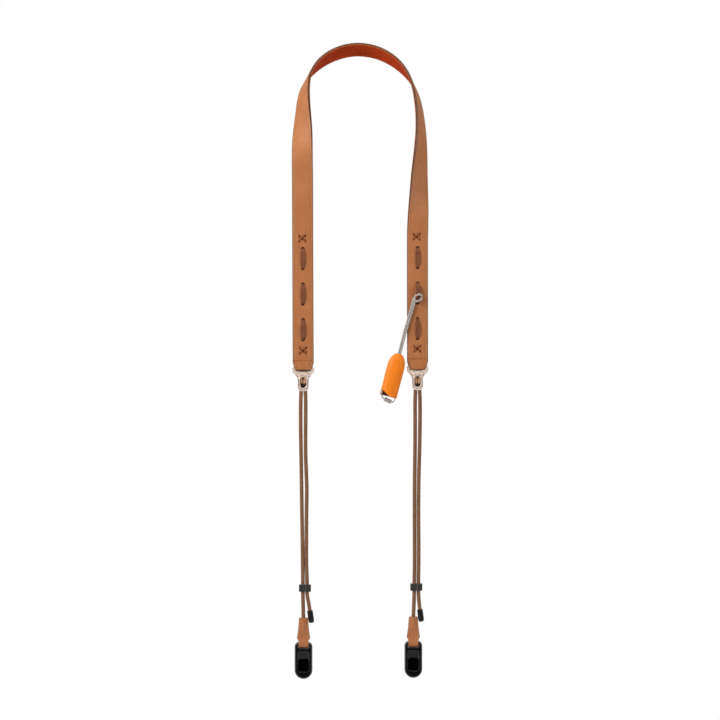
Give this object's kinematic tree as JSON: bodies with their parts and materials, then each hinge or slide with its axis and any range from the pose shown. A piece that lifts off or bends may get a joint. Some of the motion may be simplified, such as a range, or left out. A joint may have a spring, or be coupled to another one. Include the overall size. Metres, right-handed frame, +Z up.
{
  "type": "camera neck strap",
  "caption": "Leather camera neck strap draped over a neck, with laced loops, cast end rings, adjustable braided cords, black quick connectors and an orange tag.",
  "frame": {"origin": "middle of the band's underside where it rests on the back of a neck", "axes": "+Z up, the legs hang in front of the neck towards -Y, X across from leg to leg"},
  "size_m": [0.1435, 0.0761, 0.6724],
  "materials": {
    "strap_leather": "satin",
    "lining_leather": "satin",
    "tab_leather": "satin",
    "lace": "matt",
    "cast_metal": "satin",
    "brown_cord": "matt",
    "black_plastic": "matt",
    "grey_cord": "matt",
    "orange_plastic": "gloss",
    "steel": "polished"
  },
  "bodies": {
    "root": {"strap_outer": "strap_leather", "strap_lining": "lining_leather", "lace_loop_left_1": "lace", "lace_loop_left_2": "lace", "lace_loop_left_3": "lace", "end_ring_left": "cast_metal", "adjuster_cord_left": "brown_cord", "cord_slider_left": "black_plastic", "cord_end_left": "black_plastic", "tab_left": "tab_leather", "lace_loop_right_1": "lace", "lace_loop_right_2": "lace", "lace_loop_right_3": "lace", "end_ring_right": "cast_metal", "adjuster_cord_right": "brown_cord", "cord_slider_right": "black_plastic", "cord_end_right": "black_plastic", "tab_right": "tab_leather", "tag_cord": "grey_cord", "tag_sleeve": "orange_plastic", "tag_wire_loop": "steel", "tag_crimp": "steel"},
    "connector_left": {"connector_left": "black_plastic"},
    "connector_right": {"connector_right": "black_plastic"}
  },
  "joints": [
    {"name": "connector_left_swing", "type": "hinge", "parent": "root", "child": "connector_left", "pos_m": [-0.0592, -0.0542, -0.63], "axis": [1, 0, 0], "range_deg": [-40, 40]},
    {"name": "connector_right_swing", "type": "hinge", "parent": "root", "child": "connector_right", "pos_m": [0.0559, -0.0542, -0.6289], "axis": [1, 0, 0], "range_deg": [-40, 40]}
  ]
}
